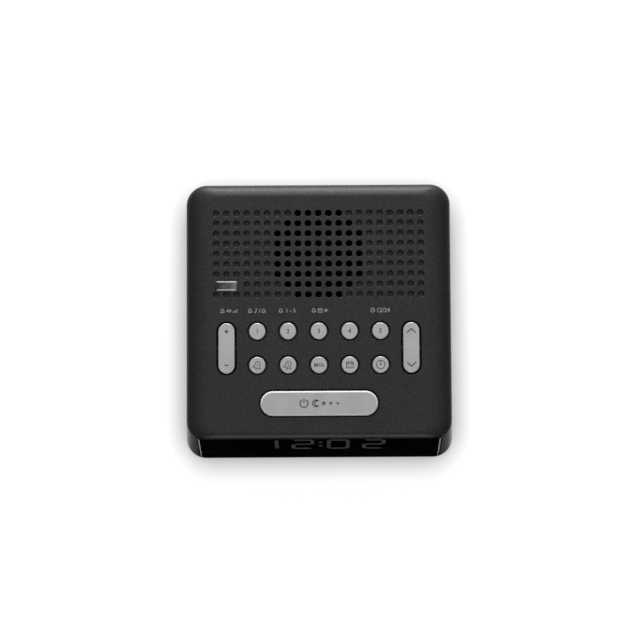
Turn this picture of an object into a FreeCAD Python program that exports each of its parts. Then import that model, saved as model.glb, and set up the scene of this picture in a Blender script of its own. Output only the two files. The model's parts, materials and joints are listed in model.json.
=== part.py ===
# Digital alarm clock radio: a moulded hood with a drilled speaker grille, a base plate, a
# leaning front lens over a four digit display, ten round keys, two rockers and a long bar.
# Millimetres. The origin is on the table under the middle of the case, +Z is up and the
# display faces -Y.
import FreeCAD, Part
import math
import os

Vec = FreeCAD.Vector

# Case
base_width = 135.0
base_depth = 135.0
case_height = 50.0
side_setback = 3.0
back_setback = 2.0
front_setback = 8.5
corner_radius = 10.0
top_round = 6.5
lip_round = 3.0
wall = 2.2
front_wall = 4.0
ceiling_bevel = 4.0
overrun = 1.0
part_gap = 0.2

# Flat facets that stand for round shapes: chords of a corner, or sides of a full turn
case_chords = 6
inner_chords = 3
top_bands = 5
key_chords = 4
plate_chords = 2
speaker_sides = 18
foot_sides = 16
column_sides = 12
screw_sides = 8
same_point = 0.001

# Feet
foot_height = 2.0
foot_radius = 6.0
foot_bevel = 0.6
foot_inset = 17.5

# Grille: rows and columns of holes, open over the speaker and shallow pits elsewhere. The
# pitch of the holes is a share of the case, and sets out everything on the top.
hole_pitch_share = 1 / 27
column_pitch = base_width * hole_pitch_share
row_pitch = base_depth * hole_pitch_share
small_pitch = min(column_pitch, row_pitch)
hole_share = 0.32
hole_radius = hole_share * small_pitch
hole_rows = 9
hole_columns = 21
hole_sides = 8
pit_depth = 1.3
pit_sides = 6
grille_margin_share = 2.91
sound_share = 4.7
sound_radius = sound_share * small_pitch

# Bare plate that takes the place of three pits in the last row but one
badge_width_share = 2.16
badge_depth_share = 0.94
badge_shift_share = 0.15
badge_width = badge_width_share * column_pitch
badge_depth = badge_depth_share * row_pitch
badge_shift = badge_shift_share * row_pitch
badge_height = 0.7
badge_bevel = 0.5
badge_corner = 0.75
badge_column = 1
badge_row = 7
badge_pits = 3

# Keys, rockers and snooze bar
key_share = 1.6
key_pitch_share = 3
key_row_pitch_share = 3.31
key_row_gap_share = 3.6
snooze_gap_share = 3.74
snooze_width_share = 11.4
snooze_depth_share = 2.4
key_columns = 5
key_diameter = key_share * small_pitch
key_pitch = key_pitch_share * column_pitch
key_row_pitch = key_row_pitch_share * row_pitch
key_row_gap = key_row_gap_share * row_pitch
snooze_gap = snooze_gap_share * row_pitch
snooze_width = snooze_width_share * column_pitch
snooze_depth = snooze_depth_share * row_pitch
key_rise = 0.7
key_bevel = 0.4
snooze_rise = 1.0
snooze_bevel = 0.7
key_gap = 0.35
well_flare = 0.75
well_drop = 0.55
flange_lap = 1.2
flange_thickness = 1.0
flange_gap = 0.1
plunger_width = 3.0
key_travel = 0.6
snooze_travel = 0.7
press_gap = 0.1
snooze_plungers = (-1, 0, 1)
snooze_plunger_share = 4

# Rocker pivots
rocker_tilt = 2.5
pivot_drop = 1.7
pivot_radius = 1.0
pivot_clearance = 0.05
pivot_length = 2.2
ear_thickness = 1.8
ear_margin = 1.3
ear_gap = 0.25
rocker_depth = 3.0

# Key board under the ceiling, held by four moulded hooks
board_thickness = 1.6
key_board_drop = 8.0
key_board_side_share = 1.4
key_board_back_share = 1.36
key_board_front_share = 1.04
switch_width = 6.0
switch_body = 3.4
switch_height = 4.3
hook_width = 5.0
hook_thickness = 1.6
hook_lap = 1.0
hook_tip = 1.4
hook_place_share = 7
board_gap = 0.1

# Front lens and the rebate that holds it
lens_thickness = 2.2
lens_bevel = 0.8
lens_corner = 1.5
lens_top_margin = 5.3
lens_base_margin = 6.9
lens_gap = 0.7
lens_sill = 1.3
lens_sill_gap = 0.3
lens_head_gap = 0.45
lens_ledge = 2.0

# Display
display_gap = 0.2
segment_depth = 0.3
display_shift = 0.5
display_rise = 21.8
digit_width = 11.4
digit_height = 22.8
digit_pitch = 17.7
stroke = 2.0
stroke_gap = 0.5
colon_spread = 8.6
mask_width = 84.0
mask_height = 32.0
mask_depth = 6.0
display_board_margin = 11.5
display_board_height = 34.0
display_board_rise = 23.8
rail_wrap = 1.2
rail_groove = 1.5

# Speaker, 50 mm class, held in a collar by three hooks
speaker_share = 5.2
speaker_radius = speaker_share * small_pitch
speaker_flange = 1.2
mesh_thickness = 0.3
gasket_thickness = 1.2
gasket_width = 2.2
collar_thickness = 1.6
collar_hook = 0.9
collar_hook_height = 1.2
collar_hook_width = 6.0
collar_hooks = 3
collar_gap = 0.2
basket_depth = 13.0
basket_skin = 0.8
basket_seat = 3.4
magnet_share = 8 / 13
magnet_radius = magnet_share * speaker_radius
magnet_height = 7.5
throat_share = 0.29
cone_throat = throat_share * speaker_radius
surround_width = 1.0
cone_depth = 7.0
cone_skin = 0.5
surround_rise = 0.4
surround_skin = 0.4
dust_cap_rise = 2.2

# Base plate
base_thickness = 3.0
vent_count = 8
vent_length = 26.0
vent_width = 2.4
vent_pitch_share = 1.2
vent_place_share = 1.6
tongue_width = 26.0
tongue_height = 21.5
tongue_lap = 1.0

# Case screws, from below into columns of the hood
column_radius = 3.6
column_side_share = 2.1
column_back_share = 2.1
column_front_share = 5.1
screw_radius = 1.4
screw_head_radius = 2.7
screw_head_height = 1.3
screw_head_depth = 1.6
screw_length = 12.0
thread_clearance = 0.05
screw_hole_clearance = 0.3

# Main board on the base plate
main_board_side = 20.5
main_board_back = 5.5
main_board_front = 49.5
main_board_lift = 3.0
standoff_width = 6.0
standoff_inset = 12.0
board_screw_length = 4.0
board_screw_radius = 1.1
board_screw_head = 2.2
board_screw_head_height = 1.2

# Power inlet, a standard barrel socket for a plug of 5.5 mm
inlet_share = 6.8
inlet_width = 11.0
inlet_depth = 13.0
inlet_height = 11.0
inlet_axis_rise = 6.4
inlet_nose_radius = 4.2
inlet_bore_radius = 3.1
inlet_bore_depth = 9.5
inlet_pin_radius = 1.0
inlet_pin_setback = 1.0
inlet_hole_gap = 0.25

# Parts on the main board, placed by shares of its width and depth
processor_size = 10.0
processor_height = 1.6
processor_shares = (-0.19, 0.225)
radio_length = 24.0
radio_width = 18.0
radio_height = 4.0
radio_shares = (-0.275, 0.675)
amplifier_length = 9.0
amplifier_width = 6.0
amplifier_height = 2.0
amplifier_shares = (0.17, 0.625)
capacitor_radius = 4.0
capacitor_height = 10.5
capacitor_shares = (0.37, 0.25)
capacitor_group_shares = ((-1.25, 0), (1.25, 0), (0, 2.75))
header_width = 4.0
header_height = 6.0
display_header_length = 22.0
key_header_length = 18.0
speaker_header_length = 6.0

# Flat leads
ribbon_thickness = 0.5
ribbon_bend = 3.0
display_ribbon_width = 18.0
key_ribbon_width = 14.0
key_ribbon_x = -24.0
speaker_lead_width = 3.0
speaker_lead_x = 3.0

# Backup battery: a 20 mm coin cell under a screwed cover
cell_radius = 10.0
cell_height = 3.2
cell_gap = 0.4
cell_place_share = -5.2
cell_front = 29.5
pocket_roof = 1.4
pocket_wall = 1.4
contact_thickness = 0.3
contact_width = 4.0
cover_thickness = 1.4
cover_lap = 1.6
cover_tail = 7.0
cover_gap = 0.2
cover_screw_length = 3.6

# Heights and places that follow from the sizes above
base_z = foot_height
top_z = base_z + case_height
ceiling_z = top_z - wall
floor_z = base_z + base_thickness
face_angle = math.atan2(front_setback, case_height)
face_length = math.hypot(front_setback, case_height)
back_edge = base_depth / 2 - back_setback
first_row_y = back_edge - grille_margin_share * row_pitch
last_row_y = first_row_y - (hole_rows - 1) * row_pitch
speaker_y = (first_row_y + last_row_y) / 2
key_rows = (last_row_y - key_row_gap, last_row_y - key_row_gap - key_row_pitch)
snooze_y = key_rows[1] - snooze_gap
rocker_x = (key_columns + 1) / 2 * key_pitch
rocker_y = (key_rows[0] + key_rows[1]) / 2
rocker_length = key_row_pitch + key_diameter
key_top = top_z + key_rise
snooze_top = top_z + snooze_rise
flange_top = ceiling_z - flange_gap
flange_base = flange_top - flange_thickness
key_board_top = ceiling_z - key_board_drop
key_board_base = key_board_top - board_thickness
key_board_half = rocker_x + key_board_side_share * column_pitch
key_board_y1 = key_rows[0] + key_board_back_share * row_pitch
key_board_y0 = snooze_y - key_board_front_share * row_pitch
hook_offset = hook_place_share * column_pitch
snooze_plunger_pitch = snooze_plunger_share * column_pitch
switch_top = key_board_top + switch_height
pivot_z = ceiling_z - pivot_drop
rocker_base = pivot_z - rocker_depth / 2
mesh_base = ceiling_z - mesh_thickness
gasket_base = mesh_base - gasket_thickness
flange_z = gasket_base - speaker_flange
basket_base = flange_z - basket_depth
magnet_base = basket_base - magnet_height
surround_outer = speaker_radius - basket_seat - basket_skin - part_gap / 2
surround_inner = surround_outer - surround_width
cone_radius = surround_inner - part_gap / 2
surround_base = flange_z + basket_skin / 2
cone_top = surround_base + surround_skin
column_x = base_width / 2 - column_side_share * column_pitch
column_back_y = base_depth / 2 - column_back_share * row_pitch
column_front_y = column_front_share * row_pitch - base_depth / 2
vent_y = vent_place_share * row_pitch
vent_pitch = vent_pitch_share * row_pitch
main_board_base = floor_z + main_board_lift
main_board_top = main_board_base + board_thickness
main_board_y1 = base_depth / 2 - main_board_back
main_board_y0 = main_board_front - base_depth / 2
main_board_half = base_width / 2 - main_board_side
cell_x = cell_place_share * column_pitch
cell_y = cell_front - base_depth / 2
inlet_x = inlet_share * column_pitch
inlet_z = main_board_top + inlet_axis_rise
tongue_y = base_depth / 2 - wall - tongue_lap
lens_back = -lens_thickness
segment_front = lens_back - display_gap
mask_front = segment_front - segment_depth
mask_back = mask_front - mask_depth
display_board_back = mask_back - board_thickness
display_board_half = base_width / 2 - display_board_margin


def block(x0, x1, y0, y1, z0, z1):
    """Box between two corners."""
    return Part.makeBox(x1 - x0, y1 - y0, z1 - z0, Vec(x0, y0, z0))


def centred_block(x, y, width, depth, z0, z1):
    """Box on a centre line."""
    return block(x - width / 2, x + width / 2, y - depth / 2, y + depth / 2, z0, z1)


def rod(x, y, z0, z1, radius, sides):
    """Upright prism with many sides."""
    return turned([(0, z0), (radius, z0), (radius, z1), (0, z1)], x, y, sides)


def turned(profile, x, y, sides):
    """Solid about an upright axis with flat facets, from a closed line of (radius, height)."""
    rings = []
    for radius, z in profile:
        outline = polygon_points(x, y, radius, sides) if radius else [(x, y)]
        rings.append([Vec(px, py, z) for px, py in outline])
    faces = []
    for number, ring in enumerate(rings):
        faces += band(ring, rings[(number + 1) % len(rings)])
    return closed_solid(faces)


def flat_face(corners):
    """Flat face on a closed line of corners."""
    return Part.Face(Part.makePolygon(corners + corners[:1]))


def band(ring, following):
    """Flat facets between two rings of corners, either of which may be a single point."""
    count = max(len(ring), len(following))
    faces = []
    for number in range(count if count > 1 else 0):
        corners = [ring[number % len(ring)], ring[(number + 1) % len(ring)],
                   following[(number + 1) % len(following)], following[number % len(following)]]
        kept = [corner for place, corner in enumerate(corners)
                if corner.distanceToPoint(corners[place - 1]) > same_point]
        faces.append(flat_face(kept))
    return faces


def closed_solid(faces):
    """Solid inside a closed set of faces, with its flat neighbours merged."""
    solid = Part.Solid(Part.Shell(faces))
    if solid.Volume < 0:
        solid.reverse()
    return solid.removeSplitter()


def stacked(rings):
    """Solid through rings of corners that lie one above the other."""
    faces = [flat_face(rings[0]), flat_face(rings[-1])]
    for number, ring in enumerate(rings[:-1]):
        faces += band(ring, rings[number + 1])
    return closed_solid(faces)


def prism(points, z0, z1):
    """Upright prism on an outline of (x, y) points."""
    corners = [Vec(x, y, z0) for x, y in points]
    return flat_face(corners).extrude(Vec(0, 0, z1 - z0))


def side_prism(points, x0, x1):
    """Prism along X on an outline of (y, z) points."""
    corners = [Vec(x0, y, z) for y, z in points]
    return flat_face(corners).extrude(Vec(x1 - x0, 0, 0))


def rounded_ring(corners, z, radius, chords):
    """Ring of points at a height, on an outline of (x, y) corners that are rounded off."""
    ring = []
    for number, (x, y) in enumerate(corners):
        before = corners[number - 1]
        after = corners[(number + 1) % len(corners)]
        incoming = math.atan2(y - before[1], x - before[0])
        turn = (math.atan2(after[1] - y, after[0] - x) - incoming) % (2 * math.pi)
        back = radius * math.tan(turn / 2)
        centre_x = x - back * math.cos(incoming) - radius * math.sin(incoming)
        centre_y = y - back * math.sin(incoming) + radius * math.cos(incoming)
        for step in range(chords + 1):
            angle = incoming - math.pi / 2 + turn * step / chords
            point = Vec(centre_x + radius * math.cos(angle), centre_y + radius * math.sin(angle), z)
            if not ring or point.distanceToPoint(ring[-1]) > same_point:
                ring.append(point)
    if ring[0].distanceToPoint(ring[-1]) <= same_point:
        ring.pop()
    return ring


def box_corners(x0, x1, y0, y1):
    """Corners of a rectangle."""
    return [(x0, y0), (x1, y0), (x1, y1), (x0, y1)]


def pill_ring(x, y, width, depth, z, grow):
    """Ring with fully round ends about a centre, grown or shrunk all round."""
    half_x = width / 2 + grow
    half_y = depth / 2 + grow
    corners = box_corners(x - half_x, x + half_x, y - half_y, y + half_y)
    return rounded_ring(corners, z, min(half_x, half_y), key_chords)


def joined(shapes):
    """One solid of several that meet, with its flat faces merged."""
    return shapes[0].fuse(shapes[1:]).removeSplitter()


def polygon_points(x, y, radius, sides):
    """Corners of a regular polygon about a centre."""
    turns = [2 * math.pi * (number + 1 / 2) / sides for number in range(sides)]
    return [(x + radius * math.cos(turn), y + radius * math.sin(turn)) for turn in turns]


def case_ring(z, inset, front_inset, chords):
    """Ring round the leaning case walls at a height, moved in from the outer skin."""
    share = (z - base_z) / case_height
    half = base_width / 2 - side_setback * share - inset
    front = front_setback * share - base_depth / 2 + front_inset
    back = base_depth / 2 - back_setback * share - inset
    corners = box_corners(-half, half, front, back)
    return rounded_ring(corners, z, corner_radius - inset, chords)


def case_block(z0, z1, inset, front_inset):
    """Solid between two heights of the case, moved in from the outer skin."""
    return stacked([case_ring(z, inset, front_inset, inner_chords) for z in (z0, z1)])


def on_face(shape):
    """Stand a shape drawn flat, with X across, Y up the front and Z out of it, on the front."""
    turn = FreeCAD.Rotation(Vec(1, 0, 0), 90 - math.degrees(face_angle))
    shape.Placement = FreeCAD.Placement(Vec(0, -base_depth / 2, base_z), turn)
    return shape


def rounded_case():
    """Outer skin of the case: large rounds on sides and back, and a tight front lip."""
    rings = [case_ring(base_z, 0, 0, case_chords)]
    for number in range(top_bands + 1):
        turn = math.pi / 2 * number / top_bands
        drop = top_round * (1 - math.sin(turn))
        left = max(lip_round - drop, 0)
        lip = lip_round - math.sqrt(lip_round ** 2 - left ** 2)
        rings.append(case_ring(top_z - drop, top_round * (1 - math.cos(turn)), lip, case_chords))
    return stacked(rings)


def cavity():
    """Inside of the hood, open below, with bevelled upper corners."""
    return stacked([
        case_ring(base_z - overrun, wall, front_wall, inner_chords),
        case_ring(ceiling_z - ceiling_bevel, wall, front_wall, inner_chords),
        case_ring(ceiling_z, wall + ceiling_bevel, front_wall + ceiling_bevel / 2, inner_chords),
    ])


def grille_places():
    """Centre of each hole of the grille, and whether it goes through."""
    places = []
    middle = (hole_columns - 1) / 2
    for row in range(hole_rows):
        for column in range(hole_columns):
            if row == badge_row and column < badge_pits:
                continue
            x = (column - middle) * column_pitch
            y = first_row_y - row * row_pitch
            places.append((x, y, math.hypot(x, y - speaker_y) <= sound_radius))
    return places


def sound_hole(x, y):
    """Cutter of a hole through the top."""
    outline = polygon_points(x, y, hole_radius, hole_sides)
    return prism(outline, ceiling_z - overrun, top_z + overrun)


def pit(x, y):
    """Cutter of a pointed pit in the top."""
    spread = hole_radius * (pit_depth + overrun) / pit_depth
    return turned([(0, top_z - pit_depth), (spread, top_z + overrun), (0, top_z + overrun)],
                  x, y, pit_sides)


def well(x, y, width, depth):
    """Cutter of a key's opening in the top, with a flared rim."""
    rim = key_gap + well_flare * (well_drop + overrun) / well_drop
    outlines = [
        pill_ring(x, y, width, depth, ceiling_z - overrun, key_gap),
        pill_ring(x, y, width, depth, top_z - well_drop, key_gap),
        pill_ring(x, y, width, depth, top_z + overrun, rim),
    ]
    return stacked(outlines)


def key_places():
    """Centre of each round key, row by row."""
    middle = (key_columns - 1) / 2
    return [((column - middle) * key_pitch, y) for y in key_rows for column in range(key_columns)]


def wells():
    """Cutters of every key, rocker and bar opening."""
    cutters = [well(x, y, key_diameter, key_diameter) for x, y in key_places()]
    for x in (-rocker_x, rocker_x):
        cutters.append(well(x, rocker_y, key_diameter, rocker_length))
    cutters.append(well(0, snooze_y, snooze_width, snooze_depth))
    return cutters


def lens_outline(grow, grow_head, grow_sill):
    """Corners of the lens on the front face, grown at the sides, head and sill."""
    low = lens_sill - grow_sill
    high = lens_head() + grow_head
    lean = (lens_half(lens_head()) - lens_half(lens_sill)) / (lens_head() - lens_sill)
    half_low = lens_half(lens_sill) + lean * (low - lens_sill) + grow
    half_high = lens_half(lens_head()) + lean * (high - lens_head()) + grow
    return [(-half_low, low), (half_low, low), (half_high, high), (-half_high, high)]


def lens_head():
    """Height of the lens's upper edge along the front face, just under the lip's round."""
    return face_length - lip_round / math.cos(face_angle) - lens_head_gap


def lens_half(rise):
    """Half width of the lens at a height along the front face."""
    share = rise / face_length
    margin = lens_base_margin + (lens_top_margin - lens_base_margin) * share
    return base_width / 2 - side_setback * share - margin


def lens_cutters():
    """Rebate of the lens, and the smaller window behind it."""
    rebate = prism(lens_outline(lens_gap, lens_head_gap, lens_sill_gap), lens_back, overrun)
    window_back = -front_wall - overrun
    window = prism(lens_outline(-lens_ledge, -lens_ledge, -lens_ledge), window_back, overrun)
    return [on_face(rebate), on_face(window)]


def tongue_box(grow):
    """Space of the base plate's rear tongue, grown by a fit gap."""
    half = tongue_width / 2 + grow
    high = base_z + tongue_height + grow
    return block(inlet_x - half, inlet_x + half, tongue_y, base_depth, base_z - overrun, high)


def column_places():
    """Centre of each screw column."""
    return [(side * column_x, y) for y in (column_front_y, column_back_y) for side in (-1, 1)]


def screw_columns():
    """Columns that hang from the ceiling down to the base plate."""
    return [rod(x, y, floor_z, ceiling_z + wall / 2, column_radius, column_sides)
            for x, y in column_places()]


def pilot_holes():
    """Cutters of the screw holes in the columns."""
    radius = screw_radius + thread_clearance
    high = base_z + screw_head_depth + screw_length + overrun
    return [rod(x, y, base_z, high, radius, screw_sides) for x, y in column_places()]


def speaker_collar():
    """Ring under the ceiling round the speaker, with hooks that hold the speaker's flange."""
    inner = speaker_radius + collar_gap
    outer = inner + collar_thickness
    low = flange_z - part_gap - collar_hook_height
    ring = rod(0, speaker_y, low, ceiling_z + wall / 2, outer, speaker_sides)
    bore = rod(0, speaker_y, low - overrun, ceiling_z, inner, speaker_sides)
    pieces = [ring.cut(bore)]
    for number in range(collar_hooks):
        hook = block(inner - collar_hook - collar_gap, inner + collar_thickness / 2,
                     -collar_hook_width / 2, collar_hook_width / 2, low, flange_z - part_gap)
        hook.rotate(Vec(0, 0, 0), Vec(0, 0, 1), 90 + 360 * number / collar_hooks)
        hook.translate(Vec(0, speaker_y, 0))
        pieces.append(hook)
    return joined(pieces)


def board_hook(x, edge, side):
    """Moulded hook that grips one edge of the key board; side is +1 at the back edge."""
    shoulder = edge - side * hook_lap
    inner = edge + side * board_gap
    outer = inner + side * hook_thickness
    top = key_board_top + board_gap
    base = key_board_base - board_gap
    points = [(shoulder, ceiling_z + wall / 2), (shoulder, top), (inner, top), (inner, base),
              (shoulder, base), (inner, base - hook_tip), (outer, base - hook_tip),
              (outer, ceiling_z + wall / 2)]
    return side_prism(points, x - hook_width / 2, x + hook_width / 2)


def board_hooks():
    """Hooks at both edges of the key board."""
    hooks = []
    for x in (-hook_offset, hook_offset):
        hooks.append(board_hook(x, key_board_y1, 1))
        hooks.append(board_hook(x, key_board_y0, -1))
    return hooks


def rocker_ears():
    """Pairs of ears with the bores that carry the rockers."""
    reach = pivot_radius + ear_margin
    ears = []
    for centre in (-rocker_x, rocker_x):
        for side in (-1, 1):
            near = key_diameter / 2 + key_gap + ear_gap
            x = centre + side * (near + ear_thickness / 2)
            ear = centred_block(x, rocker_y, ear_thickness, 2 * reach,
                                pivot_z - reach, ceiling_z + wall / 2)
            start = Vec(x - ear_thickness, rocker_y, pivot_z)
            bore = Part.makeCylinder(pivot_radius + pivot_clearance, 2 * ear_thickness, start,
                                     Vec(1, 0, 0))
            ears.append(ear.cut(bore))
    return ears


def display_rails():
    """Upright rails on both side walls whose grooves hold the display board."""
    low = display_board_rise - display_board_height / 2
    high = display_board_rise + display_board_height / 2
    edge = display_board_half
    front = mask_back + rail_wrap + board_gap
    back = display_board_back - rail_wrap - board_gap
    rails = []
    for side in (-1, 1):
        inner = side * (edge - rail_groove)
        outer = side * base_width / 2
        rail = block(min(inner, outer), max(inner, outer), low, high, back, front)
        groove_end = side * (edge + board_gap)
        groove = block(min(inner, groove_end), max(inner, groove_end), low - overrun, high + overrun,
                       display_board_back - board_gap, mask_back + board_gap)
        rails.append(on_face(rail.cut(groove)))
    return rails


def top_housing():
    """Hood of the case with its grille, wells, lens seat and moulded carriers."""
    shell = rounded_case().cut(cavity())
    skin = case_block(base_z, top_z, wall / 2, wall / 2)
    walls = [rail.common(skin) for rail in display_rails()]
    hung = screw_columns() + [speaker_collar()] + board_hooks() + rocker_ears()
    shell = shell.fuse(walls + hung).removeSplitter()
    shell = shell.cut(lens_cutters() + [tongue_box(part_gap)] + pilot_holes())
    shell = shell.cut(wells())
    drills = [sound_hole(x, y) if open_here else pit(x, y) for x, y, open_here in grille_places()]
    return shell.cut(drills)


def screw_from_below(x, y, head_z, length, radius, head_radius, head_height):
    """Round headed screw with its head underneath."""
    profile = [(0, head_z), (head_radius, head_z), (head_radius, head_z + head_height),
               (radius, head_z + head_height), (radius, head_z + head_height + length),
               (0, head_z + head_height + length)]
    return turned(profile, x, y, screw_sides)


def screw_from_above(x, y, head_z, length, radius, head_radius, head_height):
    """Round headed screw with its head on top, standing on a face at the given height."""
    profile = [(0, head_z + head_height), (head_radius, head_z + head_height),
               (head_radius, head_z), (radius, head_z), (radius, head_z - length),
               (0, head_z - length)]
    return turned(profile, x, y, screw_sides)


def case_screws():
    """Four screws that draw the base plate against the hood's columns."""
    head_z = base_z + screw_head_depth - screw_head_height
    return [screw_from_below(x, y, head_z, screw_length, screw_radius, screw_head_radius,
                             screw_head_height) for x, y in column_places()]


def screwed_standoffs():
    """Where the main board is screwed down."""
    x = main_board_half - standoff_width
    return [(-x, main_board_y0 + standoff_inset), (x, main_board_y1 - standoff_width - inlet_depth)]


def resting_standoffs():
    """Where the main board only rests."""
    x = main_board_half - standoff_width
    return [(x, main_board_y0 + standoff_inset), (-x, main_board_y1 - standoff_width)]


def pocket_half():
    """Half width of the square pocket round the coin cell."""
    return cell_radius + cell_gap


def pocket_top():
    """Height of the pocket's inner roof."""
    return base_z + cover_thickness + cell_height + 2 * contact_thickness + cell_gap


def cover_box(grow):
    """Space of the battery cover in the underside of the base plate."""
    half = pocket_half() + cover_lap + grow
    high = base_z + cover_thickness
    return block(cell_x - half, cell_x + half + cover_tail, cell_y - half, cell_y + half,
                 base_z - overrun * (grow > 0), high)


def cover_screw_x():
    """Place of the battery cover's screw along X."""
    return cell_x + pocket_half() + cover_lap + cover_tail / 2


def base_cover():
    """Base plate with screw seats, vents, standoffs, rear tongue and battery pocket."""
    pieces = [case_block(base_z, floor_z, wall + part_gap, front_wall + part_gap)]
    tongue = case_block(base_z, base_z + tongue_height, 0, 0).common(tongue_box(0))
    pieces.append(tongue.common(block(-base_width, base_width, tongue_y, base_depth,
                                      base_z, base_z + tongue_height)))
    for x, y in screwed_standoffs() + resting_standoffs():
        pieces.append(centred_block(x, y, standoff_width, standoff_width, base_z, main_board_base))
    half = pocket_half() + pocket_wall
    pieces.append(block(cell_x - half, cell_x + half + cover_tail, cell_y - half, cell_y + half,
                        base_z, pocket_top() + pocket_roof))
    plate = joined(pieces)
    cutters = [cover_box(cover_gap)]
    half = pocket_half()
    cutters.append(block(cell_x - half, cell_x + half, cell_y - half, cell_y + half, base_z,
                         pocket_top()))
    for x, y in column_places():
        cutters.append(rod(x, y, base_z - overrun, base_z + screw_head_depth,
                           screw_head_radius + screw_hole_clearance, screw_sides))
        cutters.append(rod(x, y, base_z, floor_z + overrun, screw_radius + screw_hole_clearance,
                           screw_sides))
    for x, y in screwed_standoffs():
        cutters.append(rod(x, y, main_board_base - board_screw_length, main_board_base + overrun,
                           board_screw_radius + thread_clearance, screw_sides))
    cutters.append(rod(cover_screw_x(), cell_y, base_z, base_z + cover_thickness
                       + cover_screw_length, board_screw_radius + thread_clearance, screw_sides))
    middle = (vent_count - 1) / 2
    for number in range(vent_count):
        y = vent_y + (number - middle) * vent_pitch
        cutters.append(centred_block(0, y, vent_length, vent_width, base_z - overrun,
                                     floor_z + overrun))
    hole = Part.makeCylinder(inlet_nose_radius + inlet_hole_gap, base_depth,
                             Vec(inlet_x, main_board_y0, inlet_z), Vec(0, 1, 0))
    return plate.cut(cutters + [hole])


def rubber_foot(x, y):
    """Round foot with a bevelled lower edge."""
    profile = [(0, 0), (foot_radius - foot_bevel, 0), (foot_radius, foot_bevel),
               (foot_radius, foot_height), (0, foot_height)]
    return turned(profile, x, y, foot_sides)


def feet():
    """The four feet by name."""
    x = base_width / 2 - foot_inset
    y = base_depth / 2 - foot_inset
    return {
        "foot_front_left": rubber_foot(-x, -y),
        "foot_front_right": rubber_foot(x, -y),
        "foot_rear_left": rubber_foot(-x, y),
        "foot_rear_right": rubber_foot(x, y),
    }


def display_lens():
    """Bevelled front lens."""
    return on_face(stacked([
        rounded_ring(lens_outline(0, 0, 0), lens_back, lens_corner, inner_chords),
        rounded_ring(lens_outline(0, 0, 0), -lens_bevel, lens_corner, inner_chords),
        rounded_ring(lens_outline(-lens_bevel, -lens_bevel, -lens_bevel), 0,
                     lens_corner - lens_bevel, inner_chords),
    ]))


def segment(x, y, length, upright):
    """One pointed bar of a digit on the display's face."""
    half = length / 2
    edge = stroke / 2
    points = [(-half, 0), (edge - half, -edge), (half - edge, -edge), (half, 0),
              (half - edge, edge), (edge - half, edge)]
    if upright:
        points = [(-b, a) for a, b in points]
    return on_face(prism([(x + a, y + b) for a, b in points], mask_front, segment_front))


def digit_segments(x, lit_names):
    """Bars of one digit, split into lit and dark ones."""
    across = (digit_width - stroke) / 2
    rise = (digit_height - stroke) / 2
    flat = 2 * across - stroke_gap
    tall = rise - stroke_gap
    bars = {
        "top": (0, rise, flat, False),
        "middle": (0, 0, flat, False),
        "bottom": (0, -rise, flat, False),
        "upper_left": (-across, rise / 2, tall, True),
        "upper_right": (across, rise / 2, tall, True),
        "lower_left": (-across, -rise / 2, tall, True),
        "lower_right": (across, -rise / 2, tall, True),
    }
    lit, dark = [], []
    for name, (dx, dy, length, upright) in bars.items():
        bar = segment(x + dx, display_rise + dy, length, upright)
        (lit if name in lit_names else dark).append(bar)
    return lit, dark


def display_segments():
    """Lit and dark bars of the four digits, which show 12:02."""
    one = ("upper_right", "lower_right")
    two = ("top", "upper_right", "middle", "lower_left", "bottom")
    nought = ("top", "upper_left", "upper_right", "lower_left", "lower_right", "bottom")
    lit, dark = [], []
    digits = (one, two, nought, two)
    middle = (len(digits) - 1) / 2
    for number, names in enumerate(digits):
        x = display_shift + (number - middle) * digit_pitch
        bright, dim = digit_segments(x, names)
        lit += bright
        dark += dim
    for side in (-1, 1):
        y = display_rise + side * colon_spread / 2
        dot = centred_block(display_shift, y, stroke, stroke, mask_front, segment_front)
        lit.append(on_face(dot))
    return Part.makeCompound(lit), Part.makeCompound(dark)


def display_mask():
    """Black block that carries the digits."""
    return on_face(centred_block(display_shift, display_rise, mask_width, mask_height, mask_back,
                                 mask_front))


def display_board():
    """Circuit board behind the display."""
    return on_face(centred_block(0, display_board_rise, 2 * display_board_half,
                                 display_board_height, display_board_back, mask_back))


def badge_plate():
    """Bare bevelled plate on the grille."""
    x = (badge_column - (hole_columns - 1) / 2) * column_pitch
    y = first_row_y - badge_row * row_pitch - badge_shift
    rim_z = top_z + badge_height - badge_bevel
    rings = []
    for z, inset in ((top_z, 0), (rim_z, 0), (top_z + badge_height, badge_bevel)):
        half_x = badge_width / 2 - inset
        half_y = badge_depth / 2 - inset
        corners = box_corners(x - half_x, x + half_x, y - half_y, y + half_y)
        rings.append(rounded_ring(corners, z, badge_corner - inset, plate_chords))
    return stacked(rings)


def speaker_basket():
    """Pressed frame of the speaker with its flange."""
    seat = magnet_radius - basket_skin
    flare = speaker_radius - basket_seat
    profile = [(speaker_radius, gasket_base), (speaker_radius, flange_z), (flare, flange_z),
               (magnet_radius, basket_base), (cone_throat + cone_skin + part_gap, basket_base),
               (cone_throat + cone_skin + part_gap, basket_base + basket_skin),
               (seat, basket_base + basket_skin),
               (flare - basket_skin, flange_z + basket_skin / 2), (flare - basket_skin, gasket_base)]
    return turned(profile, 0, speaker_y, speaker_sides)


def speaker_magnet():
    """Magnet on the back of the basket."""
    return rod(0, speaker_y, magnet_base, basket_base, magnet_radius, speaker_sides)


def speaker_cone():
    """Paper cone with its short neck."""
    low = cone_top - cone_depth
    profile = [(cone_radius, cone_top), (cone_radius - cone_skin, cone_top + cone_skin / 2),
               (cone_throat, low + cone_skin), (cone_throat, basket_base + part_gap),
               (cone_throat + cone_skin, basket_base + part_gap), (cone_throat + cone_skin, low)]
    return turned(profile, 0, speaker_y, speaker_sides)


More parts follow.
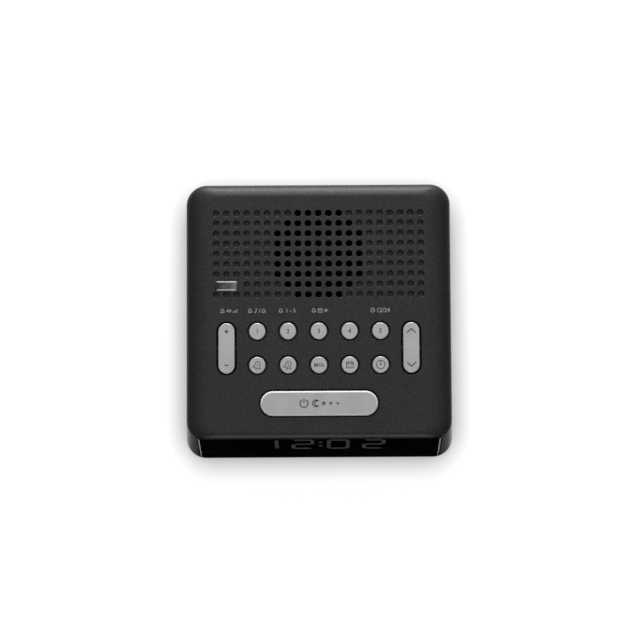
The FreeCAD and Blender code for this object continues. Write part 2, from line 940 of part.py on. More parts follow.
def speaker_surround():
    """Raised rubber ring between cone and basket."""
    middle = (surround_inner + surround_outer) / 2
    profile = [(surround_inner, surround_base), (surround_outer, surround_base),
               (surround_outer, cone_top), (middle, cone_top + surround_rise),
               (surround_inner, cone_top)]
    return turned(profile, 0, speaker_y, speaker_sides)


def speaker_dust_cap():
    """Low dome in the middle of the cone."""
    low = cone_top - cone_depth + 2 * cone_skin
    reach = cone_throat - part_gap / 2
    profile = [(0, low), (reach, low), (reach, low + cone_skin),
               (reach / 2, low + dust_cap_rise), (0, low + dust_cap_rise + cone_skin / 2)]
    return turned(profile, 0, speaker_y, speaker_sides)


def speaker_gasket():
    """Soft ring between the speaker's flange and the mesh."""
    inner = speaker_radius - gasket_width
    profile = [(inner, gasket_base), (speaker_radius, gasket_base),
               (speaker_radius, mesh_base), (inner, mesh_base)]
    return turned(profile, 0, speaker_y, speaker_sides)


def speaker_mesh():
    """Dust cloth under the grille's open holes."""
    return rod(0, speaker_y, mesh_base, ceiling_z, speaker_radius, speaker_sides)


def cap_with_flange(x, y, width, depth, cap_top, bevel, flange_x, flange_y, plungers, press):
    """Key cap that stands through its well, with a square flange and plungers below."""
    cap = stacked([pill_ring(x, y, width, depth, flange_base, 0),
                   pill_ring(x, y, width, depth, cap_top - bevel, 0),
                   pill_ring(x, y, width, depth, cap_top, -bevel)])
    pieces = [cap, centred_block(x, y, flange_x, flange_y, flange_base, flange_top)]
    for shift in plungers:
        pieces.append(centred_block(x + shift, y, plunger_width, plunger_width,
                                    switch_top + press, flange_top))
    return joined(pieces)


def round_key(x, y):
    """One round key."""
    side = key_diameter + 2 * flange_lap
    return cap_with_flange(x, y, key_diameter, key_diameter, key_top, key_bevel, side, side, (0,),
                           key_travel + press_gap)


def snooze_bar():
    """Long bar with three plungers."""
    shifts = [number * snooze_plunger_pitch for number in snooze_plungers]
    return cap_with_flange(0, snooze_y, snooze_width, snooze_depth, snooze_top, snooze_bevel,
                           snooze_width + 2 * flange_lap, snooze_depth + 2 * flange_lap, shifts,
                           snooze_travel + press_gap)


def rocker(x):
    """Rocker key with trunnions in the ears and a plunger under each end."""
    cap = stacked([pill_ring(x, rocker_y, key_diameter, rocker_length, rocker_base, 0),
                   pill_ring(x, rocker_y, key_diameter, rocker_length, key_top - key_bevel, 0),
                   pill_ring(x, rocker_y, key_diameter, rocker_length, key_top, -key_bevel)])
    reach = key_diameter / 2 + key_gap + ear_gap + pivot_length
    pin = Part.makeCylinder(pivot_radius, 2 * reach, Vec(x - reach, rocker_y, pivot_z),
                            Vec(1, 0, 0))
    drop = key_row_pitch / 2 * math.sin(math.radians(rocker_tilt)) + press_gap
    pieces = [cap, pin]
    for y in key_rows:
        pieces.append(centred_block(x, y, plunger_width, plunger_width, switch_top + drop,
                                    rocker_base + overrun))
    return joined(pieces)


def caps():
    """Every key by name, in the order of the two rows."""
    names = ["preset_button_1", "preset_button_2", "preset_button_3", "preset_button_4",
             "preset_button_5", "alarm_button_1", "alarm_button_2", "sleep_button", "day_button",
             "clock_button"]
    nodes = {name: round_key(x, y) for name, (x, y) in zip(names, key_places())}
    nodes["volume_rocker"] = rocker(-rocker_x)
    nodes["tuning_rocker"] = rocker(rocker_x)
    nodes["snooze_bar"] = snooze_bar()
    return nodes


def key_board():
    """Circuit board under the keys."""
    return block(-key_board_half, key_board_half, key_board_y0, key_board_y1, key_board_base,
                 key_board_top)


def key_switches():
    """One small switch under each plunger."""
    places = key_places() + [(side * rocker_x, y) for side in (-1, 1) for y in key_rows]
    places += [(number * snooze_plunger_pitch, snooze_y) for number in snooze_plungers]
    switches = []
    for x, y in places:
        high = key_board_top + switch_body
        switches.append(centred_block(x, y, switch_width, switch_width, key_board_top, high))
        switches.append(centred_block(x, y, switch_width / 2, switch_width / 2, high, switch_top))
    return Part.makeCompound(switches)


def main_board():
    """Circuit board on the base plate, with holes for its two screws."""
    board = block(-main_board_half, main_board_half, main_board_y0, main_board_y1,
                  main_board_base, main_board_top)
    radius = board_screw_radius + screw_hole_clearance
    return board.cut([rod(x, y, main_board_base - overrun, main_board_top + overrun, radius,
                          screw_sides) for x, y in screwed_standoffs()])


def board_screws():
    """Two screws that hold the main board."""
    length = board_thickness + board_screw_length - thread_clearance
    return Part.makeCompound([screw_from_above(x, y, main_board_top, length, board_screw_radius,
                                               board_screw_head, board_screw_head_height)
                              for x, y in screwed_standoffs()])


def board_point(shares):
    """Place on the main board by shares of its width and depth."""
    depth = main_board_y1 - main_board_y0
    return 2 * main_board_half * shares[0], main_board_y0 + depth * shares[1]


def board_part(shares, length, width, height):
    """Flat component on the main board."""
    x, y = board_point(shares)
    return centred_block(x, y, length, width, main_board_top, main_board_top + height)


def capacitors():
    """Three round capacitors."""
    x, y = board_point(capacitor_shares)
    high = main_board_top + capacitor_height
    return Part.makeCompound([rod(x + dx * capacitor_radius, y + dy * capacitor_radius,
                                  main_board_top, high, capacitor_radius, column_sides)
                              for dx, dy in capacitor_group_shares])


def header_y():
    """Place of the header row along Y, just behind the main board's front edge."""
    return main_board_y0 + header_width


def board_headers():
    """Sockets of the flat leads: display, keys and speaker."""
    high = main_board_top + header_height
    y = header_y()
    display = centred_block(display_shift + display_header_length, y, display_header_length,
                            header_width, main_board_top, high)
    keys = centred_block(key_ribbon_x, y, key_header_length, header_width, main_board_top, high)
    speaker = centred_block(speaker_lead_x, speaker_lead_y(), speaker_header_length, header_width,
                            main_board_top, high)
    return Part.makeCompound([display, keys, speaker])


def speaker_lead_y():
    """Place of the speaker's header, under the front of its basket."""
    return speaker_y - magnet_radius - header_width


def flat_lead(points, x, width):
    """Flat lead of one thickness along a path of (y, z) points, with square turns bevelled."""
    left, right = [], []
    for number, (y, z) in enumerate(points):
        before = points[max(number - 1, 0)]
        after = points[min(number + 1, len(points) - 1)]
        along = math.atan2(after[1] - before[1], after[0] - before[0])
        dy = -math.sin(along) * ribbon_thickness / 2
        dz = math.cos(along) * ribbon_thickness / 2
        left.append((y + dy, z + dz))
        right.append((y - dy, z - dz))
    return side_prism(left + right[::-1], x - width / 2, x + width / 2)


def key_ribbon():
    """Flat lead from the key board down to its header."""
    y = header_y()
    low = main_board_top + header_height
    return block(key_ribbon_x - key_ribbon_width / 2, key_ribbon_x + key_ribbon_width / 2,
                 y - ribbon_thickness / 2, y + ribbon_thickness / 2, low, key_board_base)


def display_ribbon():
    """Flat lead from the back of the display board to its header."""
    rise = display_rise - display_board_height / 4
    across, up = math.cos(face_angle), math.sin(face_angle)
    start_y = -display_board_back * across + rise * up - base_depth / 2
    start_z = base_z + rise * across + display_board_back * up
    y = header_y()
    low = main_board_top + header_height
    points = [(start_y, start_z), (start_y + ribbon_bend * across, start_z - ribbon_bend * up),
              (y - ribbon_bend, low + ribbon_bend), (y, low + ribbon_bend / 2), (y, low)]
    return flat_lead(points, display_shift + display_header_length, display_ribbon_width)


def speaker_lead():
    """Twin lead from the speaker's frame down to its header."""
    y = speaker_lead_y()
    low = main_board_top + header_height
    near = speaker_y - y - ribbon_thickness
    share = (near - magnet_radius) / (speaker_radius - basket_seat - magnet_radius)
    high = basket_base + share * basket_depth
    return block(speaker_lead_x - speaker_lead_width / 2, speaker_lead_x + speaker_lead_width / 2,
                 y - ribbon_thickness, y + ribbon_thickness, low, high)


def inlet_front():
    """Where the inlet's body meets the tongue."""
    return tongue_y - part_gap / 2


def dc_inlet():
    """Barrel socket whose nose passes through the rear tongue."""
    y = inlet_front()
    body = centred_block(inlet_x, y - inlet_depth / 2, inlet_width, inlet_depth, main_board_top,
                         main_board_top + inlet_height)
    share = (inlet_z - base_z) / case_height
    nose_end = base_depth / 2 - back_setback * share
    nose = Part.makeCylinder(inlet_nose_radius, nose_end - y + overrun, Vec(inlet_x, y - overrun,
                             inlet_z), Vec(0, 1, 0))
    bore = Part.makeCylinder(inlet_bore_radius, inlet_bore_depth + overrun,
                             Vec(inlet_x, nose_end - inlet_bore_depth, inlet_z), Vec(0, 1, 0))
    whole = joined([body, nose]).cut(bore)
    return whole.common(case_block(base_z, top_z, 0, 0))


def inlet_pin():
    """Centre contact of the inlet."""
    share = (inlet_z - base_z) / case_height
    nose_end = base_depth / 2 - back_setback * share
    start = nose_end - inlet_bore_depth
    return Part.makeCylinder(inlet_pin_radius, inlet_bore_depth - inlet_pin_setback,
                             Vec(inlet_x, start, inlet_z), Vec(0, 1, 0))


def battery_cover():
    """Cover of the backup battery, flush with the underside, with its screw hole."""
    hole = rod(cover_screw_x(), cell_y, base_z - overrun, floor_z,
               board_screw_radius + screw_hole_clearance, screw_sides)
    seat = rod(cover_screw_x(), cell_y, base_z - overrun, base_z + board_screw_head_height / 2,
               board_screw_head + screw_hole_clearance, screw_sides)
    return cover_box(0).cut([hole, seat])


def battery_cover_screw():
    """Small screw of the battery cover."""
    head_z = base_z - board_screw_head_height / 2
    return screw_from_below(cover_screw_x(), cell_y, head_z, cover_screw_length,
                            board_screw_radius, board_screw_head, board_screw_head_height)


def backup_battery():
    """Coin cell between its contacts."""
    low = base_z + cover_thickness + contact_thickness + cell_gap / 2
    return rod(cell_x, cell_y, low, low + cell_height, cell_radius, speaker_sides)


def battery_contacts():
    """Spring strips over and under the coin cell."""
    low = base_z + cover_thickness
    over = pocket_top()
    reach = pocket_half() - part_gap
    lower = centred_block(cell_x, cell_y, 2 * reach, contact_width, low, low + contact_thickness)
    upper = centred_block(cell_x, cell_y, contact_width, 2 * reach, over - contact_thickness, over)
    return Part.makeCompound([lower, upper])


def all_nodes():
    """Every piece of the radio by name."""
    lit, dark = display_segments()
    nodes = {
        "top_housing": top_housing(),
        "base_cover": base_cover(),
        "case_screws": Part.makeCompound(case_screws()),
        "display_lens": display_lens(),
        "display_mask": display_mask(),
        "lit_segments": lit,
        "dark_segments": dark,
        "display_board": display_board(),
        "display_ribbon": display_ribbon(),
        "badge_plate": badge_plate(),
        "speaker_mesh": speaker_mesh(),
        "speaker_gasket": speaker_gasket(),
        "speaker_basket": speaker_basket(),
        "speaker_magnet": speaker_magnet(),
        "speaker_cone": speaker_cone(),
        "speaker_surround": speaker_surround(),
        "speaker_dust_cap": speaker_dust_cap(),
        "speaker_lead": speaker_lead(),
        "key_board": key_board(),
        "key_switches": key_switches(),
        "key_ribbon": key_ribbon(),
        "main_board": main_board(),
        "board_screws": board_screws(),
        "processor_chip": board_part(processor_shares, processor_size, processor_size,
                                     processor_height),
        "radio_module": board_part(radio_shares, radio_length, radio_width, radio_height),
        "amplifier_chip": board_part(amplifier_shares, amplifier_length, amplifier_width,
                                     amplifier_height),
        "capacitors": capacitors(),
        "board_headers": board_headers(),
        "dc_inlet": dc_inlet(),
        "inlet_pin": inlet_pin(),
        "battery_cover": battery_cover(),
        "battery_cover_screw": battery_cover_screw(),
        "backup_battery": backup_battery(),
        "battery_contacts": battery_contacts(),
    }
    nodes.update(caps())
    nodes.update(feet())
    return nodes


def main():
    """Build every piece and write one STEP file for each."""
    os.makedirs("parts", exist_ok=True)
    for name, shape in all_nodes().items():
        shape.exportStep(os.path.join("parts", name + ".step"))
        print(name, len(shape.Solids), "solids", round(shape.Volume, 1), "mm3", shape.isValid())


main()
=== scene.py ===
import json
import math

import bmesh
import bpy
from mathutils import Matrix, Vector


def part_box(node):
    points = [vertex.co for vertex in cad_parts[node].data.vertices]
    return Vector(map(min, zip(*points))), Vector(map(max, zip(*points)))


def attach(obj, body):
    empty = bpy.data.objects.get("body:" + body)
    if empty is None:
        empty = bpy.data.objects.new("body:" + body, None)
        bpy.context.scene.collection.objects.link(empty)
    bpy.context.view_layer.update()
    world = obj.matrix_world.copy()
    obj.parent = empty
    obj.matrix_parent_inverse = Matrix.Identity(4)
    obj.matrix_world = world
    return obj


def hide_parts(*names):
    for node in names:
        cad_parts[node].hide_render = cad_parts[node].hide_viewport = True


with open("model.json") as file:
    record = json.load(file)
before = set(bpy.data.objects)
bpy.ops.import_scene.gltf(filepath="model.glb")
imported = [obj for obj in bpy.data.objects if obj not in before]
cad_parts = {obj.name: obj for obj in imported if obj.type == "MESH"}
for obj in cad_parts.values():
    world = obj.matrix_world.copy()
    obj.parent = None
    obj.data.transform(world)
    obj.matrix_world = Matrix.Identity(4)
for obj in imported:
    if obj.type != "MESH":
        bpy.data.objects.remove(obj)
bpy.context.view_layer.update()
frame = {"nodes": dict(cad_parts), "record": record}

MM = 0.001
ROUND = 2 * math.pi
MERGE_GAP = 0.0005 * MM
UPRIGHT_BELOW = 0.3
LEVEL_ABOVE = 0.97

# Case, its outer size read from the frame and its walls as in the solid hood
HOOD_LOW, HOOD_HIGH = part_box("top_housing")
BASE_Z = HOOD_LOW.z
TOP_Z = HOOD_HIGH.z
HALF_X = HOOD_HIGH.x
HALF_Y = HOOD_HIGH.y
CASE_HEIGHT = TOP_Z - BASE_Z
SIDE_SETBACK = 3.0 * MM
BACK_SETBACK = 2.0 * MM
FRONT_SETBACK = 8.5 * MM
CORNER_RADIUS = 10.0 * MM
TOP_ROUND = 6.5 * MM
SIDE_ROUND = 12.5 * MM
LIP_ROUND = 3.0 * MM
WALL = 2.2 * MM
FRONT_WALL = 4.0 * MM
OVERRUN = 1.0 * MM
CEILING_BEVEL = 4.0 * MM
CEILING_Z = TOP_Z - WALL
CORNER_CHORDS = 18
HIDDEN_CHORDS = 3
TOP_BANDS = 16
CASE_PITCHES = 27
PITCH = 2 * HALF_X / CASE_PITCHES
TONGUE_HALF = 13.2 * MM
TONGUE_GAP = 0.2 * MM
FACE_ANGLE = math.atan2(FRONT_SETBACK, CASE_HEIGHT)

# Grille: rows and columns of one pitch, holes over the speaker and pits beside it
HOLE_RADIUS = 1.6 * MM
HOLE_RIM = 0.25 * MM
RIM_STEPS = 4
HOLE_ROWS = 9
HOLE_COLUMNS = 21
HOLE_SIDES = 24
PIT_DEPTH = 1.75 * MM
PIT_RADIUS = 1.5 * MM
PIT_RIM = 0.28 * MM
SOUND_RADIUS = 23.5 * MM
FIRST_ROW_PITCHES = 2.91
FIRST_ROW_Y = HALF_Y - BACK_SETBACK - FIRST_ROW_PITCHES * PITCH
LAST_ROW_Y = FIRST_ROW_Y - (HOLE_ROWS - 1) * PITCH
SPEAKER_Y = (FIRST_ROW_Y + LAST_ROW_Y) / 2
BADGE_ROW = 7
BADGE_PITS = 3

# Keys
ROUND_KEYS = ("preset_button_1", "preset_button_2", "preset_button_3", "preset_button_4",
              "preset_button_5", "alarm_button_1", "alarm_button_2", "sleep_button",
              "day_button", "clock_button")
KEY_HALF = 0.8 * PITCH
BAR_HALF_LENGTH = 5.7 * PITCH
BAR_HALF_WIDTH = 1.2 * PITCH
KEY_GAP = 0.8 * MM
WELL_RIM = 0.42 * MM
WELL_STEPS = 5
KEY_BEVEL = 0.38 * MM
BEVEL_STEPS = 6
BAR_BEVEL = 0.65 * MM
CAP_ROOM = 0.05 * MM
CAP_LAP = 0.3 * MM
STEM_DROP = 0.15 * MM
STEM_Z = CEILING_Z - STEM_DROP
KEY_SIDES = 48
KEY_COLUMN = 3 * PITCH
ROCKER_X = 3 * KEY_COLUMN

# Lens in the leaning front
LENS_THICKNESS = 2.2 * MM
LENS_SILL = 1.3 * MM
LENS_BASE_MARGIN = 6.9 * MM
LENS_TOP_MARGIN = 5.3 * MM
LENS_HEAD_GAP = 0.45 * MM
LENS_GAP = 0.7 * MM
LENS_SILL_GAP = 0.3 * MM
LENS_LEDGE = 2.0 * MM
LENS_CORNER = 1.5 * MM
LENS_BEVEL = 0.8 * MM
LENS_CHORDS = 8
FACE_LENGTH = math.hypot(FRONT_SETBACK, CASE_HEIGHT)
LENS_HEAD = FACE_LENGTH - LIP_ROUND / math.cos(FACE_ANGLE) - LENS_HEAD_GAP

# Badge: heights under its top and insets of its rings, from its foot to its sunk middle
BADGE_CORNER = 1.1 * MM
BADGE_CHORDS = 6
# Least front or back lean of a badge bevel face that gets the painted highlight
BADGE_HIGHLIGHT_FACING = 0.3
BADGE_STEPS = ((0.35 * MM, 0), (0.1 * MM, 0.2 * MM), (0, 0.5 * MM), (0.08 * MM, 0.7 * MM))

# Rubber feet
FEET = ("foot_front_left", "foot_front_right", "foot_rear_left", "foot_rear_right")
FOOT_EDGE = 0.6 * MM
FOOT_STEPS = 5
FOOT_SIDES = 48

# Printed signs
PRINT_LIFT = 0.02 * MM
PRINT_DEPTH = 0.05 * MM
FINE_LINE = 0.41 * MM
BOLD_LINE = 0.6 * MM
DIGIT_HEIGHT = 2.25 * MM
BELL_TILT = -18
CHEVRON_RISE = 0.22
ROCKER_SIGN_Y = 8.2 * MM
LABEL_DROP = 7.9 * MM
LABEL_SIZE = 2.2 * MM
LABEL_LINE = 0.8 * FINE_LINE


def rounded_ring(corners, z, radius, chords):
    """Ring of points at a height, on an outline of (x, y) corners that are rounded off."""
    ring = []
    for number, (x, y) in enumerate(corners):
        before = corners[number - 1]
        after = corners[(number + 1) % len(corners)]
        incoming = math.atan2(y - before[1], x - before[0])
        turn = (math.atan2(after[1] - y, after[0] - x) - incoming) % ROUND
        back = radius * math.tan(turn / 2)
        centre_x = x - back * math.cos(incoming) - radius * math.sin(incoming)
        centre_y = y - back * math.sin(incoming) + radius * math.cos(incoming)
        for step in range(chords + 1):
            angle = incoming - math.pi / 2 + turn * step / chords
            ring.append(Vector((centre_x + radius * math.cos(angle),
                                centre_y + radius * math.sin(angle), z)))
    return ring


def box_corners(x, y, half_x, half_y):
    """Corners of a rectangle about a centre."""
    return [(x - half_x, y - half_y), (x + half_x, y - half_y), (x + half_x, y + half_y),
            (x - half_x, y + half_y)]


def pill_ring(x, y, half_x, half_y, z, grow):
    """Ring with fully round ends about a centre, grown or shrunk all round."""
    corners = box_corners(x, y, half_x + grow, half_y + grow)
    return rounded_ring(corners, z, min(half_x, half_y) + grow, KEY_SIDES // 4)


def circle_ring(x, y, radius, z, sides):
    """Round ring of points."""
    turns = [ROUND * number / sides for number in range(sides)]
    return [Vector((x + radius * math.cos(t), y + radius * math.sin(t), z)) for t in turns]


def add_stack(form, rings):
    """Closed skin through rings of points, added to a bmesh."""
    rows = [[form.verts.new(point) for point in ring] for ring in rings]
    count = len(rows[0])
    for lower, upper in zip(rows, rows[1:]):
        for number in range(count):
            after = (number + 1) % count
            form.faces.new((lower[number], lower[after], upper[after], upper[number]))
    form.faces.new(rows[0][::-1])
    form.faces.new(rows[-1])


def finished_mesh(name, form):
    """Mesh of a bmesh, with doubled points merged and normals outward."""
    bmesh.ops.remove_doubles(form, verts=form.verts[:], dist=MERGE_GAP)
    bmesh.ops.recalc_face_normals(form, faces=form.faces[:])
    mesh = bpy.data.meshes.new(name)
    form.to_mesh(mesh)
    form.free()
    return mesh


def piece(name, mesh, material, body):
    """Object of a mesh with one material, riding on a body."""
    mesh.materials.clear()
    mesh.materials.append(material)
    made = bpy.data.objects.new(name, mesh)
    bpy.context.scene.collection.objects.link(made)
    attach(made, body)
    return made


def smoothed(made, sharp_degrees):
    """Smooth shading that keeps flats flat and edges above an angle sharp."""
    made.data.shade_smooth()
    made.data.set_sharp_from_angle(angle=math.radians(sharp_degrees))
    weighted = made.modifiers.new("weighted", "WEIGHTED_NORMAL")
    weighted.keep_sharp = True
    weighted.weight = 80


def is_sloping(normal):
    """Whether the face of a normal is neither upright nor level."""
    return UPRIGHT_BELOW < normal.z < LEVEL_ABOVE


def paint_faces(made, material, chosen):
    """Second material on the faces whose normal a rule picks."""
    made.data.materials.append(material)
    for face in made.data.polygons:
        face.material_index = int(chosen(face.normal))


def carved(mesh, cutters):
    """A closed mesh with closed cutters taken out, one after the other."""
    target = bpy.data.objects.new("target", mesh)
    bpy.context.scene.collection.objects.link(target)
    tools = []
    for cutter in cutters:
        tool = bpy.data.objects.new("tool", cutter)
        bpy.context.scene.collection.objects.link(tool)
        cut = target.modifiers.new("cut", "BOOLEAN")
        cut.operation = "DIFFERENCE"
        cut.solver = "MANIFOLD"
        cut.object = tool
        tools.append(tool)
    graph = bpy.context.evaluated_depsgraph_get()
    result = bpy.data.meshes.new_from_object(target.evaluated_get(graph))
    for used in [target] + tools:
        bpy.data.objects.remove(used)
    return result


def on_face(point):
    """Place of a point given across, up and out of the leaning front."""
    across, up, out = point
    sine, cosine = math.sin(FACE_ANGLE), math.cos(FACE_ANGLE)
    return Vector((across, up * sine - out * cosine - HALF_Y, BASE_Z + up * cosine + out * sine))


def case_ring(z, inset, front_inset, chords, side_inset=None):
    """Ring round the leaning case walls at a height, moved in from the outer skin."""
    share = (z - BASE_Z) / CASE_HEIGHT
    half = HALF_X - SIDE_SETBACK * share - (inset if side_inset is None else side_inset)
    front = FRONT_SETBACK * share - HALF_Y + front_inset
    back = HALF_Y - BACK_SETBACK * share - inset
    corners = box_corners(0, (front + back) / 2, half, (back - front) / 2)
    return rounded_ring(corners, z, CORNER_RADIUS - inset, chords)


def case_skin():
    """Closed outer form of the case: large rounds on sides and back, a tight lip in front."""
    rings = [case_ring(BASE_Z, 0, 0, CORNER_CHORDS)]
    for number in range(TOP_BANDS + 1):
        turn = math.pi / 2 * number / TOP_BANDS
        drop = TOP_ROUND * (1 - math.sin(turn))
        left = max(LIP_ROUND - drop, 0)
        lip = LIP_ROUND - math.sqrt(LIP_ROUND ** 2 - left ** 2)
        rings.append(case_ring(TOP_Z - drop, TOP_ROUND * (1 - math.cos(turn)), lip, CORNER_CHORDS,
                               SIDE_ROUND * (1 - math.cos(turn))))
    form = bmesh.new()
    add_stack(form, rings)
    return finished_mesh("hood", form)


def cavity_cutter():
    """Inside of the hood, open below."""
    bevel_z = CEILING_Z - CEILING_BEVEL
    inset = WALL + CEILING_BEVEL
    front = FRONT_WALL + CEILING_BEVEL / 2
    form = bmesh.new()
    add_stack(form, [
        case_ring(BASE_Z - OVERRUN, WALL, FRONT_WALL, HIDDEN_CHORDS),
        case_ring(bevel_z, WALL, FRONT_WALL, HIDDEN_CHORDS),
        case_ring(CEILING_Z, inset, front, HIDDEN_CHORDS),
    ])
    return finished_mesh("cavity", form)


def quarter_round(radius, count):
    """Offsets and drops of a quarter round, from its upright side to its level top."""
    turns = [math.pi / 2 * number / count for number in range(count + 1)]
    return [(radius * (1 - math.cos(turn)), radius * (1 - math.sin(turn))) for turn in turns]


def grille_places():
    """Centre of each hole of the grille, and whether it goes through."""
    places = []
    for row in range(HOLE_ROWS):
        for column in range(HOLE_COLUMNS):
            if row == BADGE_ROW and column < BADGE_PITS:
                continue
            x = (column - (HOLE_COLUMNS - 1) / 2) * PITCH
            y = FIRST_ROW_Y - row * PITCH
            places.append((x, y, math.hypot(x, y - SPEAKER_Y) <= SOUND_RADIUS))
    return places


def grille_cutter():
    """Cutters of all holes and pits: holes with straight walls, pits with flat floors."""
    form = bmesh.new()
    for x, y, through in grille_places():
        if through:
            radius, rim, floor_z = HOLE_RADIUS, HOLE_RIM, CEILING_Z - OVERRUN
        else:
            radius, rim, floor_z = PIT_RADIUS, PIT_RIM, TOP_Z - PIT_DEPTH
        levels = [(radius, floor_z)]
        levels += [(radius + out, TOP_Z - drop) for out, drop in quarter_round(rim, RIM_STEPS)]
        levels.append((radius + rim, TOP_Z + OVERRUN))
        add_stack(form, [circle_ring(x, y, wide, z, HOLE_SIDES) for wide, z in levels])
    return finished_mesh("grille", form)


def middle_of(node):
    """Middle of a node seen from above."""
    low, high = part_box(node)
    return (low.x + high.x) / 2, (low.y + high.y) / 2


def cap_top(node):
    """Height of a key cap's top, a little under the solid's."""
    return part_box(node)[1].z - CAP_ROOM


def key_shapes():
    """Centre and half sizes of every key's outline by node name."""
    shapes = {name: (*middle_of(name), KEY_HALF, KEY_HALF) for name in ROUND_KEYS}
    for name, side in (("volume_rocker", -1), ("tuning_rocker", 1)):
        low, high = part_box(name)
        shapes[name] = (side * ROCKER_X, (low.y + high.y) / 2, KEY_HALF, (high.y - low.y) / 2)
    shapes["snooze_bar"] = (*middle_of("snooze_bar"), BAR_HALF_LENGTH, BAR_HALF_WIDTH)
    return shapes


def wells_cutter():
    """Cutters of every key's well, with rounded rims."""
    form = bmesh.new()
    for x, y, half_x, half_y in key_shapes().values():
        rings = [pill_ring(x, y, half_x, half_y, CEILING_Z - OVERRUN, KEY_GAP)]
        for out, drop in quarter_round(WELL_RIM, WELL_STEPS):
            rings.append(pill_ring(x, y, half_x, half_y, TOP_Z - drop, KEY_GAP + out))
        rings.append(pill_ring(x, y, half_x, half_y, TOP_Z + OVERRUN, KEY_GAP + WELL_RIM))
        add_stack(form, rings)
    return finished_mesh("wells", form)


def lens_half(rise):
    """Half width of the lens at a height along the front."""
    share = rise / FACE_LENGTH
    margin = LENS_BASE_MARGIN + (LENS_TOP_MARGIN - LENS_BASE_MARGIN) * share
    return HALF_X - SIDE_SETBACK * share - margin


def lens_ring(out, grow, grow_head, grow_sill, radius, chords):
    """Ring on the lens's outline, grown at the sides, head and sill, at a depth of the front."""
    low = LENS_SILL - grow_sill
    high = LENS_HEAD + grow_head
    half_low = lens_half(low) + grow
    half_high = lens_half(high) + grow
    corners = [(-half_low, low), (half_low, low), (half_high, high), (-half_high, high)]
    return [on_face(point) for point in rounded_ring(corners, out, radius, chords)]


def rebate_cutter():
    """Stepped opening of the lens: its rebate, and the smaller window behind."""
    window = (-LENS_LEDGE, -LENS_LEDGE, -LENS_LEDGE)
    seat = (LENS_GAP, LENS_HEAD_GAP, LENS_SILL_GAP)
    steps = ((-FRONT_WALL - OVERRUN, window), (-LENS_THICKNESS, window), (-LENS_THICKNESS, seat),
             (OVERRUN, seat))
    form = bmesh.new()
    add_stack(form, [lens_ring(out, *grow, LENS_CORNER, HIDDEN_CHORDS) for out, grow in steps])
    return finished_mesh("rebate", form)


def tongue_cutter():
    """Gap of the rear tongue that carries the power socket."""
    corners = box_corners(middle_of("dc_inlet")[0], HALF_Y, TONGUE_HALF, WALL + OVERRUN)
    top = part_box("base_cover")[1].z + TONGUE_GAP
    form = bmesh.new()
    add_stack(form, [[Vector((x, y, z)) for x, y in corners] for z in (BASE_Z - OVERRUN, top)])
    return finished_mesh("tongue", form)


# Grain of the materials
NOISE_DETAIL = 2
NOISE_SPAN = (0.3, 0.7)
BROAD_SCALE = 0.03
RELIEF_SHARE = 0.1
LENS_HAZE = 2 * MM
GLOW_GRAIN = 3 * MM
PAPER_FLECKS = 2 * MM


def shader(name):
    """New material; returns it with its node tree and its Principled shader."""
    material = bpy.data.materials.new(name)
    material.use_nodes = True
    tree = material.node_tree
    return material, tree, tree.nodes["Principled BSDF"]


def grain(tree, scale, detail=NOISE_DETAIL):
    """Noise in the object's own coordinates; returns its value output."""
    place = tree.nodes.new("ShaderNodeTexCoord")
    noise = tree.nodes.new("ShaderNodeTexNoise")
    noise.inputs["Scale"].default_value = scale
    noise.inputs["Detail"].default_value = detail
    tree.links.new(place.outputs["Object"], noise.inputs["Vector"])
    return noise.outputs["Fac"]


def remapped(tree, value, start, end, low=0, high=1):
    """Value carried over from one range to another."""
    remap = tree.nodes.new("ShaderNodeMapRange")
    for socket, number in (("From Min", start), ("From Max", end), ("To Min", low),
                           ("To Max", high)):
        remap.inputs[socket].default_value = number
    tree.links.new(value, remap.inputs["Value"])
    return remap.outputs["Result"]


def calculated(tree, operation, first, second=None):
    """Output of a maths node of one or two values."""
    step = tree.nodes.new("ShaderNodeMath")
    step.operation = operation
    tree.links.new(first, step.inputs[0])
    if second is not None:
        tree.links.new(second, step.inputs[1])
    return step.outputs["Value"]


def spread(tree, value, low, high):
    """The usual span of a noise value, carried over to two numbers."""
    return remapped(tree, value, *NOISE_SPAN, low, high)


def blend_colours(tree, value, dark, light):
    """Colour between two by a value."""
    mix = tree.nodes.new("ShaderNodeMix")
    mix.data_type = "RGBA"
    mix.inputs["A"].default_value = (*dark, 1)
    mix.inputs["B"].default_value = (*light, 1)
    tree.links.new(value, mix.inputs["Factor"])
    return mix.outputs["Result"]


def add_bump(tree, shade, value, strength, distance):
    """Fine relief from a value."""
    bump = tree.nodes.new("ShaderNodeBump")
    bump.inputs["Strength"].default_value = strength
    bump.inputs["Distance"].default_value = distance
    tree.links.new(value, bump.inputs["Height"])
    tree.links.new(bump.outputs["Normal"], shade.inputs["Normal"])


def textured(name, dark, light, rough, grain_size, relief, metallic=0.0, specular=(0.5, 0.5)):
    """Material whose colour, roughness, sheen and relief vary with a fine grain."""
    material, tree, shade = shader(name)
    fine = grain(tree, 1 / grain_size)
    broad = grain(tree, BROAD_SCALE / grain_size)
    colour = blend_colours(tree, spread(tree, broad, 0, 1), dark, light)
    tree.links.new(colour, shade.inputs["Base Color"])
    tree.links.new(spread(tree, fine, *rough), shade.inputs["Roughness"])
    tree.links.new(spread(tree, fine, *specular), shade.inputs["Specular IOR Level"])
    shade.inputs["Metallic"].default_value = metallic
    add_bump(tree, shade, fine, relief, grain_size * RELIEF_SHARE)
    return material


def smoked_lens():
    """Dark clear plastic through which the digits show faintly."""
    material, tree, shade = shader("smoked_lens")
    haze = grain(tree, 1 / LENS_HAZE)
    tree.links.new(blend_colours(tree, haze, grey(0.0008), grey(0.0014)),
                   shade.inputs["Base Color"])
    tree.links.new(spread(tree, haze, 0.05, 0.09), shade.inputs["Roughness"])
    shade.inputs["Specular IOR Level"].default_value = 0.2
    shade.inputs["Alpha"].default_value = 0.5
    return material


